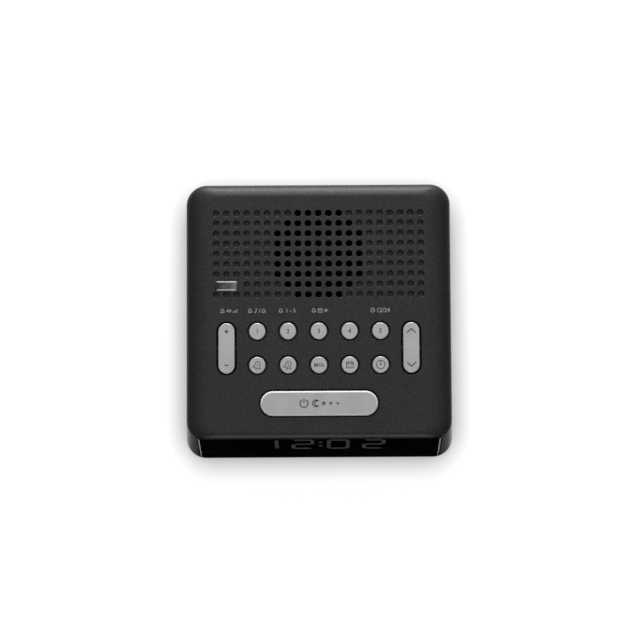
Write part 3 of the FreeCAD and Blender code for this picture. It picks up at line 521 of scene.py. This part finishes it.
def glowing(name, colour, strength):
    """Faintly lit display colour, a little uneven along each bar."""
    material, tree, shade = shader(name)
    uneven = grain(tree, 1 / GLOW_GRAIN, 1)
    shown = blend_colours(tree, uneven, [0.85 * c for c in colour], colour)
    tree.links.new(shown, shade.inputs["Base Color"])
    tree.links.new(shown, shade.inputs["Emission Color"])
    shade.inputs["Emission Strength"].default_value = strength
    shade.inputs["Roughness"].default_value = 0.6
    return material


def grey(value):
    """Neutral colour."""
    return (value, value, value)


black_plastic = textured("black_plastic", grey(0.005), (0.0075, 0.0075, 0.0078), (0.44, 0.5),
                         0.9 * MM, 0.5, specular=(0.2, 0.36))
base_plastic = textured("base_plastic", grey(0.006), grey(0.009), (0.45, 0.62), 0.7 * MM, 0.6,
                        specular=(0.2, 0.5))
silver_paint = textured("silver_paint", (0.30, 0.30, 0.304), (0.335, 0.335, 0.34), (0.44, 0.52),
                        0.25 * MM, 0.1, metallic=0.8)
# Painted highlight: a lighter matte colour on the snooze bar's chamfer, in place of the reflection
# it would catch
bar_chamfer_painted_highlight = textured("bar_chamfer_painted_highlight", grey(0.42), grey(0.46), (0.45, 0.55), 0.3 * MM, 0.05,
                       specular=(0.15, 0.3))
# Painted highlight: a lighter matte colour on the badge's long-side bevels, in place of the light
# they would catch
badge_bevel_painted_highlight = textured("badge_bevel_painted_highlight", grey(0.24), grey(0.34), (0.5, 0.6), 0.3 * MM, 0.05,
                      specular=(0.1, 0.2))
badge_metal = textured("badge_metal", grey(0.02), grey(0.13), (0.3, 0.42), 0.15 * MM, 0.2,
                       metallic=1.0)
mesh_cloth = textured("mesh_cloth", grey(0.0006), grey(0.001), (0.8, 0.95), 0.3 * MM, 0.2,
                      specular=(0.0, 0.05))
rubber = textured("rubber", grey(0.016), grey(0.022), (0.7, 0.85), 0.4 * MM, 0.4)
soft_black = textured("soft_black", grey(0.012), grey(0.016), (0.6, 0.8), 0.3 * MM, 0.4)
display_black = textured("display_black", grey(0.0012), grey(0.002), (0.6, 0.75), 0.4 * MM, 0.2,
                         specular=(0.0, 0.0))
board_green = textured("board_green", (0.01, 0.07, 0.03), (0.015, 0.10, 0.045), (0.3, 0.45),
                       0.6 * MM, 0.15)
zinc = textured("zinc", grey(0.45), grey(0.56), (0.28, 0.42), 0.3 * MM, 0.15, metallic=1.0)
ferrite = textured("ferrite", grey(0.03), grey(0.05), (0.6, 0.8), 0.3 * MM, 0.5)
brass = textured("brass", (0.55, 0.38, 0.14), (0.68, 0.5, 0.22), (0.2, 0.32), 0.3 * MM, 0.1,
                 metallic=1.0)
film_white = textured("film_white", (0.55, 0.55, 0.52), (0.65, 0.65, 0.62), (0.4, 0.55),
                      0.5 * MM, 0.1)
cream = textured("cream", (0.55, 0.5, 0.38), (0.62, 0.57, 0.45), (0.4, 0.55), 0.4 * MM, 0.1)
key_ink = textured("key_ink", grey(0.03), grey(0.04), (0.5, 0.6), 0.2 * MM, 0.1)
label_ink = textured("label_ink", grey(0.15), grey(0.19), (0.5, 0.6), 0.2 * MM, 0.1)
lens_material = smoked_lens()
lit_material = glowing("lit_bars", (0.6, 0.62, 0.64), 0.085)

NODE_MATERIALS = {
    "base_cover": base_plastic, "battery_cover": base_plastic, "case_screws": zinc,
    "display_mask": display_black, "lit_segments": lit_material, "dark_segments": display_black,
    "display_board": soft_black, "display_ribbon": film_white, "speaker_mesh": mesh_cloth,
    "speaker_gasket": mesh_cloth, "speaker_basket": zinc, "speaker_magnet": ferrite,
    "speaker_cone": soft_black, "speaker_surround": soft_black, "speaker_dust_cap": soft_black,
    "speaker_lead": soft_black, "key_board": soft_black, "key_switches": soft_black,
    "key_ribbon": film_white, "main_board": board_green, "board_screws": zinc,
    "processor_chip": soft_black, "radio_module": zinc, "amplifier_chip": soft_black,
    "capacitors": soft_black, "board_headers": cream, "dc_inlet": soft_black, "inlet_pin": brass,
    "battery_cover_screw": zinc, "backup_battery": zinc, "battery_contacts": brass,
}


def dress_nodes():
    """Give every carried-over node its material."""
    for name, node in frame["nodes"].items():
        material = NODE_MATERIALS.get(name, black_plastic)
        node.data.materials.clear()
        node.data.materials.append(material)


def make_hood():
    """Hood with its grille, wells and lens seat, in place of the plain one."""
    cutters = [cavity_cutter(), rebate_cutter(), tongue_cutter(), wells_cutter(), grille_cutter()]
    hood = piece("hood", carved(case_skin(), cutters), black_plastic, "case")
    smoothed(hood, sharp_degrees=32)
    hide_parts("top_housing")


def make_lens():
    """Bevelled front lens."""
    front = lens_ring(0, -LENS_BEVEL, 0, -LENS_BEVEL, LENS_CORNER - LENS_BEVEL, LENS_CHORDS)
    form = bmesh.new()
    add_stack(form, [
        lens_ring(-LENS_THICKNESS, 0, 0, 0, LENS_CORNER, LENS_CHORDS),
        lens_ring(-LENS_BEVEL, 0, 0, 0, LENS_CORNER, LENS_CHORDS),
        front,
    ])
    lens = piece("lens", finished_mesh("lens", form), lens_material, "case")
    smoothed(lens, sharp_degrees=25)
    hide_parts("display_lens")


BODIES = {node: body for body, nodes in frame["record"]["behaviour"]["bodies"].items()
          for node in nodes}


def round_edge(bevel):
    """Drops and insets of a key's rounded upper edge."""
    return [(drop, inset) for inset, drop in quarter_round(bevel, BEVEL_STEPS)]


def chamfered_edge(bevel):
    """Drops and insets of a flat chamfer between two small rounds."""
    soft = bevel / 6
    return [(bevel + soft, 0), (bevel - soft / 2, soft / 2), (soft / 2, bevel - soft / 2),
            (0, bevel + soft)]


def lower_part(node, height):
    """The part of a solid's own mesh below a height, closed off there."""
    form = bmesh.new()
    form.from_mesh(frame["nodes"][node].data)
    bmesh.ops.remove_doubles(form, verts=form.verts[:], dist=MERGE_GAP)
    everything = form.verts[:] + form.edges[:] + form.faces[:]
    bmesh.ops.bisect_plane(form, geom=everything, plane_co=(0, 0, height), plane_no=(0, 0, 1),
                           clear_outer=True)
    rim = [edge for edge in form.edges if edge.is_boundary]
    bmesh.ops.triangle_fill(form, edges=rim, normal=(0, 0, 1), use_beauty=True)
    return finished_mesh(node, form)


def make_caps():
    """Key caps, rockers and bar, each with the black foot that works its switch."""
    for name, shape in key_shapes().items():
        is_bar = name == "snooze_bar"
        edge = chamfered_edge(BAR_BEVEL) if is_bar else round_edge(KEY_BEVEL)
        rings = [pill_ring(*shape, STEM_Z - CAP_LAP, 0)]
        rings += [pill_ring(*shape, cap_top(name) - drop, -inset) for drop, inset in edge]
        form = bmesh.new()
        add_stack(form, rings)
        cap = piece(name + "_cap", finished_mesh(name, form), silver_paint, BODIES[name])
        if is_bar:
            # Painted highlight on the bar's sloping chamfer faces
            paint_faces(cap, bar_chamfer_painted_highlight, is_sloping)
        smoothed(cap, sharp_degrees=35)
        foot = piece(name + "_foot", lower_part(name, STEM_Z), soft_black, BODIES[name])
        for part in (cap, foot):
            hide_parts(name)


def arc(x, y, radius, start, end, steps=12):
    """Points of an arc between two angles in degrees."""
    turns = [math.radians(start + (end - start) * step / steps) for step in range(steps + 1)]
    return [(x + radius * math.cos(turn), y + radius * math.sin(turn)) for turn in turns]


def add_patch(form, points, z):
    """Flat filled shape."""
    face = form.faces.new([form.verts.new((x, y, z)) for x, y in points])
    face.normal_update()
    if face.normal.z < 0:
        face.normal_flip()


def add_line(form, points, width, z, closed=False):
    """Flat line of even width through points, with mitred bends."""
    spots = [Vector(point) for point in points]
    count = len(spots)
    sides = []
    for number, spot in enumerate(spots):
        incoming = (spot - spots[number - 1]).normalized()
        outgoing = (spots[(number + 1) % count] - spot).normalized()
        if not closed and number == 0:
            incoming = outgoing
        if not closed and number == count - 1:
            outgoing = incoming
        across = (incoming + outgoing).normalized().orthogonal()
        reach = width / 2 / max(across.dot(outgoing.orthogonal()), 0.5)
        sides.append((spot + across * reach, spot - across * reach))
    pairs = list(zip(sides, sides[1:]))
    if closed:
        pairs.append((sides[-1], sides[0]))
    for (left, right), (next_left, next_right) in pairs:
        add_patch(form, [left, right, next_right, next_left], z)


def add_text(form, words, x, y, height, z):
    """Characters of the built-in font about a place, as flat faces of a given height."""
    curve = bpy.data.curves.new("words", "FONT")
    curve.body = words
    curve.resolution_u = 3
    curve.offset = 0.02
    holder = bpy.data.objects.new("words", curve)
    bpy.context.scene.collection.objects.link(holder)
    graph = bpy.context.evaluated_depsgraph_get()
    mesh = bpy.data.meshes.new_from_object(holder.evaluated_get(graph))
    bpy.data.objects.remove(holder)
    across = [vertex.co.x for vertex in mesh.vertices]
    up = [vertex.co.y for vertex in mesh.vertices]
    scale = height / (max(up) - min(up))
    for vertex in mesh.vertices:
        vertex.co = (x + (vertex.co.x - (min(across) + max(across)) / 2) * scale,
                     y + (vertex.co.y - (min(up) + max(up)) / 2) * scale, z)
    form.from_mesh(mesh)


class Pen:
    """Draws symbols about a place, one unit of size high, in lines of one width."""

    def __init__(self, form, x, y, z, size, width, tilt=0):
        self.form = form
        self.x = x
        self.y = y
        self.z = z
        self.size = size
        self.width = width
        self.tilt = math.radians(tilt)

    def placed(self, points):
        sine, cosine = math.sin(self.tilt), math.cos(self.tilt)
        return [(self.x + (across * cosine - up * sine) * self.size,
                 self.y + (across * sine + up * cosine) * self.size) for across, up in points]

    def line(self, points, closed=False):
        add_line(self.form, self.placed(points), self.width, self.z, closed)

    def patch(self, points):
        add_patch(self.form, self.placed(points), self.z)

    def text(self, words, height):
        add_text(self.form, words, self.x, self.y, height * self.size, self.z)


def draw_plus(pen):
    pen.line([(-0.5, 0), (0.5, 0)])
    pen.line([(0, -0.5), (0, 0.5)])


def draw_minus(pen):
    pen.line([(-0.5, 0), (0.5, 0)])


def chevron(rise):
    """Drawing of an arrow head that points up, or down for a negative rise."""
    return lambda pen: pen.line([(-0.5, -rise), (0, rise), (0.5, -rise)])


def characters(words, height):
    """Drawing of plain characters of a height."""
    return lambda pen: pen.text(words, height)


def draw_bell(pen):
    dome = arc(0, 0.14, 0.26, 0, 180)
    pen.line([(0.42, -0.3), (0.3, -0.14)] + dome + [(-0.3, -0.14), (-0.42, -0.3)], True)
    pen.line(arc(0, -0.34, 0.11, 200, 340, 6))


def numbered_bell(words):
    """Drawing of a bell with a digit in it."""
    def draw(pen):
        draw_bell(pen)
        pen.text(words, 0.36)
    return draw


def draw_bed(pen):
    pen.line([(-0.5, 0.24), (-0.5, -0.24)])
    pen.line([(-0.5, -0.12), (0.5, -0.12), (0.5, -0.24)])
    pen.line(arc(-0.34, 0.03, 0.07, 0, 330, 10), True)
    pen.line([(-0.2, -0.1), (-0.2, 0.12)] + arc(0.3, -0.08, 0.2, 90, 0, 6))


def draw_calendar(pen):
    pen.line([(-0.45, -0.42), (0.45, -0.42), (0.45, 0.34), (-0.45, 0.34)], True)
    pen.line([(-0.45, 0.14), (0.45, 0.14)])
    for across in (-0.22, 0.22):
        pen.line([(across, 0.28), (across, 0.5)])
    for up in (-0.04, -0.24):
        for across in (-0.24, 0, 0.24):
            pen.patch(arc(across, up, 0.055, 0, 300, 5))


def draw_clock(pen):
    pen.line(arc(0, 0, 0.46, 0, 345, 23), True)
    pen.line([(0, 0), (0, 0.46)])
    pen.patch(arc(0, 0, 0.1, 0, 330, 11))


def draw_small_clock(pen):
    pen.line(arc(0, 0, 0.46, 0, 345, 23), True)
    pen.line([(0, 0.28), (0, 0), (0.2, -0.12)])


def draw_power(pen):
    pen.line(arc(0, 0, 0.44, 122, 418, 24))
    pen.line([(0, 0.02), (0, 0.5)])


def draw_moon(pen):
    pen.line(arc(0, 0, 0.46, 50, 310, 20) + arc(0.19, 0, 0.36, 282, 78, 14), True)


def draw_star(pen):
    points = []
    for number in range(10):
        reach = 0.21 if number % 2 else 0.5
        turn = math.radians(90 + 36 * number)
        points.append((reach * math.cos(turn), reach * math.sin(turn)))
    pen.patch(points)


def draw_speaker(pen):
    pen.patch([(-0.55, -0.16), (-0.35, -0.16), (-0.1, -0.4), (-0.1, 0.4), (-0.35, 0.16),
               (-0.55, 0.16)])
    for radius in (0.26, 0.5):
        pen.line(arc(-0.1, 0, radius, -42, 42, 8))


def draw_note(pen):
    pen.patch(arc(-0.14, -0.32, 0.17, 0, 330, 11))
    pen.line([(0.03, -0.32), (0.03, 0.46), (0.32, 0.22)])


def draw_slash(pen):
    pen.line([(-0.18, -0.45), (0.18, 0.45)])


def draw_steps(pen):
    for number in range(4):
        across = -0.45 + 0.3 * number
        pen.line([(across, -0.4), (across, -0.12 + 0.17 * number)])


def print_symbols(name, body, symbols, z, ink):
    """One printed layer of symbols: (drawing, x, y, size, line width, tilt)."""
    form = bmesh.new()
    for draw, x, y, size, width, tilt in symbols:
        draw(Pen(form, x, y, z + PRINT_LIFT - PRINT_DEPTH, size, width, tilt))
    bmesh.ops.remove_doubles(form, verts=form.verts[:], dist=MERGE_GAP)
    grown = bmesh.ops.extrude_face_region(form, geom=form.faces[:], use_keep_orig=True)
    raised = [part for part in grown["geom"] if isinstance(part, bmesh.types.BMVert)]
    bmesh.ops.translate(form, vec=(0, 0, PRINT_DEPTH), verts=raised)
    for face in form.faces:
        face.smooth = False
    return piece(name, finished_mesh(name, form), ink, body)


def print_keys():
    """Digits and symbols on the round keys."""
    signs = {name: (characters(str(number + 1), 1), DIGIT_HEIGHT, 0, "_digit")
             for number, name in enumerate(ROUND_KEYS[:5])}
    signs.update({
        "alarm_button_1": (numbered_bell("1"), 4.6 * MM, BELL_TILT, "_symbol"),
        "alarm_button_2": (numbered_bell("2"), 4.6 * MM, BELL_TILT, "_symbol"),
        "sleep_button": (draw_bed, 4.3 * MM, 0, "_symbol"),
        "day_button": (draw_calendar, 3.7 * MM, 0, "_symbol"),
        "clock_button": (draw_clock, 4.5 * MM, 0, "_symbol"),
    })
    for name, (draw, size, tilt, ending) in signs.items():
        x, y = middle_of(name)
        print_symbols(name + ending, BODIES[name], [(draw, x, y, size, FINE_LINE, tilt)],
                      cap_top(name), key_ink)


def print_rockers():
    """Plus and minus on one rocker, arrow heads on the other."""
    shapes = key_shapes()
    for name, upper, lower, size in (
            ("volume_rocker", draw_plus, draw_minus, 2.0 * MM),
            ("tuning_rocker", chevron(CHEVRON_RISE), chevron(-CHEVRON_RISE), 4.3 * MM)):
        x, y = shapes[name][:2]
        print_symbols(name + "_symbols", BODIES[name],
                      [(upper, x, y + ROCKER_SIGN_Y, size, BOLD_LINE, 0),
                       (lower, x, y - ROCKER_SIGN_Y, size, BOLD_LINE, 0)],
                      cap_top(name), key_ink)


def print_bar():
    """Power mark, moon and three stars that grow smaller."""
    x, y = middle_of("snooze_bar")
    signs = ((draw_power, -7.4, 4.4), (draw_moon, -1.6, 3.5), (draw_star, 2.2, 2.9),
             (draw_star, 5.6, 2.4), (draw_star, 9.0, 1.9))
    symbols = [(draw, x + shift * MM, y, size * MM, BOLD_LINE, 0) for draw, shift, size in signs]
    print_symbols("snooze_bar_symbols", BODIES["snooze_bar"], symbols, cap_top("snooze_bar"),
                  key_ink)


def print_labels():
    """Row of small signs over the keys: key columns, each with its signs and their places in mm."""
    groups = (
        (-3, ((draw_bell, -2.0), (draw_speaker, 1.3), (draw_steps, 4.2))),
        (-2, ((draw_bell, -3.5), (draw_note, -0.6), (draw_slash, 1.2), (draw_bell, 3.1))),
        (-1, ((draw_bell, -3.5), (characters("1 - 5", 0.9), 1.5))),
        (0, ((draw_bell, -2.4), (draw_calendar, 0.7), (draw_star, 3.5))),
        (2, ((draw_small_clock, -3.7), (characters("12/24", 1), 1.7))),
    )
    symbols = [(draw, column * KEY_COLUMN + shift * MM, LAST_ROW_Y - LABEL_DROP, LABEL_SIZE,
                LABEL_LINE, 0)
               for column, signs in groups for draw, shift in signs]
    print_symbols("top_labels", "case", symbols, TOP_Z, label_ink)


def make_badge():
    """Bare metal plate in the grille, with a painted highlight on the bevels along its long sides.
    """
    low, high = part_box("badge_plate")
    middle = (low + high) / 2
    half = (high - low) / 2
    rings = []
    for drop, inset in ((high.z - low.z, 0), *BADGE_STEPS):
        corners = box_corners(middle.x, middle.y, half.x - inset, half.y - inset)
        rings.append(rounded_ring(corners, high.z - drop, BADGE_CORNER - inset, BADGE_CHORDS))
    form = bmesh.new()
    add_stack(form, rings)
    badge = piece("badge", finished_mesh("badge", form), badge_metal, "case")
    # Painted highlight only on bevels facing front or back, so the short ends stay dark
    paint_faces(badge, badge_bevel_painted_highlight,
                lambda normal: is_sloping(normal) and abs(normal.y) > BADGE_HIGHLIGHT_FACING)
    smoothed(badge, sharp_degrees=25)
    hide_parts("badge_plate")


def make_feet():
    """Rubber feet with rounded lower edges."""
    for name in FEET:
        low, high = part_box(name)
        x, y = middle_of(name)
        radius = (high.y - low.y) / 2
        levels = [(radius - inset, z) for z, inset in quarter_round(FOOT_EDGE, FOOT_STEPS)]
        levels.append((radius, high.z))
        form = bmesh.new()
        add_stack(form, [circle_ring(x, y, wide, z, FOOT_SIDES) for wide, z in levels])
        foot = piece(name + "_pad", finished_mesh(name, form), rubber, "case")
        smoothed(foot, sharp_degrees=35)
        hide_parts(name)


# View: nearly straight above, tipped a little towards the front
SENSOR_WIDTH = 36
PICTURE_PIXELS = 640
FOCAL_PIXELS = 2000
VIEW_DISTANCE = 975 * MM
VIEW_TILT = math.radians(5)
VIEW_ROLL = math.radians(-0.33)
VIEW_AIM = Vector((0.6 * MM, -1.65 * MM, TOP_Z))
FAR_LIMIT = 10

# Surroundings: tone by height, from straight below to straight above, at full strength above
# the table; below it only towards the back, and faintly at the sides
SKY_TONES = ((0.0, 2.0), (0.15, 1.5), (0.3, 0.7), (0.47, 0.3), (0.53, 0.8), (0.6, 0.08),
             (0.68, 0.03), (1.0, 0.03))
BACK_OPENS = (-0.18, -0.06)
SIDES_OPEN = (0.12, 0.3)
SIDE_STRENGTH = 0.15

# Floor: its glow falls off close to the object, a painted soft shadow worked out from ambient
# occlusion
FLOOR_REACH = 3.0
PAINTED_SHADOW_REACH = 14 * MM
PAINTED_SHADOW_SAMPLES = 16
PAINTED_SHADOW_OPENNESS = (0.5, 1.0)
PAINTED_SHADOW_GLOW = (0.36, 0.92)

# Lamps: name, place, width, height and watts, all pointed at one place
LAMP_AIM = Vector((0, 0, 50 * MM))
LAMPS = (
    ("main_light", (0, 1.36, 1.42), 0.7, 0.7, 20.5),
    ("edge_light", (0, 1.65, 0.4), 1.2, 0.7, 47),
    ("front_light", (0, -1.5, 0.42), 0.9, 0.3, 9),
)


def setup_camera():
    """Camera at its distance from the middle of the top."""
    data = bpy.data.cameras.new("camera")
    data.sensor_width = SENSOR_WIDTH
    data.lens = FOCAL_PIXELS / PICTURE_PIXELS * SENSOR_WIDTH
    data.clip_end = FAR_LIMIT
    camera = bpy.data.objects.new("camera", data)
    bpy.context.scene.collection.objects.link(camera)
    back = Vector((0, -math.sin(VIEW_TILT), math.cos(VIEW_TILT)))
    camera.location = VIEW_AIM + back * VIEW_DISTANCE
    camera.rotation_euler = (VIEW_TILT, 0, 0)
    camera.rotation_euler.rotate_axis("Z", VIEW_ROLL)
    bpy.context.scene.camera = camera


def area_light(name, place, width, height, watts):
    """Rectangular soft lamp pointed at the object."""
    data = bpy.data.lights.new(name, "AREA")
    data.shape = "RECTANGLE"
    data.size = width
    data.size_y = height
    data.energy = watts
    lamp = bpy.data.objects.new(name, data)
    bpy.context.scene.collection.objects.link(lamp)
    lamp.location = place
    lamp.rotation_euler = (LAMP_AIM - Vector(place)).to_track_quat("-Z", "Y").to_euler()


def setup_world():
    """Soft surroundings with a tone by height and a strength by direction."""
    world = bpy.data.worlds.new("studio")
    bpy.context.scene.world = world
    world.use_nodes = True
    tree = world.node_tree
    place = tree.nodes.new("ShaderNodeTexCoord")
    split = tree.nodes.new("ShaderNodeSeparateXYZ")
    tree.links.new(place.outputs["Generated"], split.inputs["Vector"])
    across, along, height = (split.outputs[axis] for axis in "XYZ")
    ramp = tree.nodes.new("ShaderNodeValToRGB")
    stops = ramp.color_ramp.elements
    for position, tone in SKY_TONES:
        stops.new(position).color = (*grey(tone), 1)
    stops.remove(stops[0])
    stops.remove(stops[-1])
    tree.links.new(remapped(tree, height, -1, 1), ramp.inputs["Fac"])
    back = remapped(tree, along, *BACK_OPENS)
    sides = remapped(tree, calculated(tree, "ABSOLUTE", across), *SIDES_OPEN, 0, SIDE_STRENGTH)
    above = calculated(tree, "SIGN", height)
    strength = calculated(tree, "MAXIMUM", calculated(tree, "MAXIMUM", back, sides), above)
    sky = tree.nodes["Background"]
    tree.links.new(ramp.outputs["Color"], sky.inputs["Color"])
    tree.links.new(strength, sky.inputs["Strength"])


def setup_stage():
    """Pale floor that fills the view, with a painted soft shadow in its glow near the object and
    the lamps' own shadow in its dim base colour.
    """
    mesh = bpy.data.meshes.new("floor")
    corners = [(x, y, 0) for x, y in box_corners(0, 0, FLOOR_REACH, FLOOR_REACH)]
    mesh.from_pydata(corners, [], [(0, 1, 2, 3)])
    floor = bpy.data.objects.new("floor", mesh)
    bpy.context.scene.collection.objects.link(floor)
    paper, tree, shade = shader("floor_white")
    flecks = grain(tree, 1 / PAPER_FLECKS)
    tone = blend_colours(tree, flecks, grey(0.14), grey(0.15))
    tree.links.new(tone, shade.inputs["Base Color"])
    shade.inputs["Roughness"].default_value = 0.9
    shade.inputs["Specular IOR Level"].default_value = 0.0
    shade.inputs["Emission Color"].default_value = (1, 1, 1, 1)
    # Painted shadow: ambient occlusion dims the floor's glow close to the object
    painted_shadow_openness = tree.nodes.new("ShaderNodeAmbientOcclusion")
    painted_shadow_openness.samples = PAINTED_SHADOW_SAMPLES
    painted_shadow_openness.inputs["Distance"].default_value = PAINTED_SHADOW_REACH
    glow_with_painted_shadow = remapped(tree, painted_shadow_openness.outputs["AO"], *PAINTED_SHADOW_OPENNESS, *PAINTED_SHADOW_GLOW)
    tree.links.new(glow_with_painted_shadow, shade.inputs["Emission Strength"])
    mesh.materials.append(paper)
    floor.visible_diffuse = False
    floor.visible_glossy = False


dress_nodes()
make_hood()
make_lens()
make_caps()
make_badge()
make_feet()
print_keys()
print_rockers()
print_bar()
print_labels()
setup_camera()
setup_world()
setup_stage()
for lamp_values in LAMPS:
    area_light(*lamp_values)
bpy.context.scene.view_settings.view_transform = "Standard"
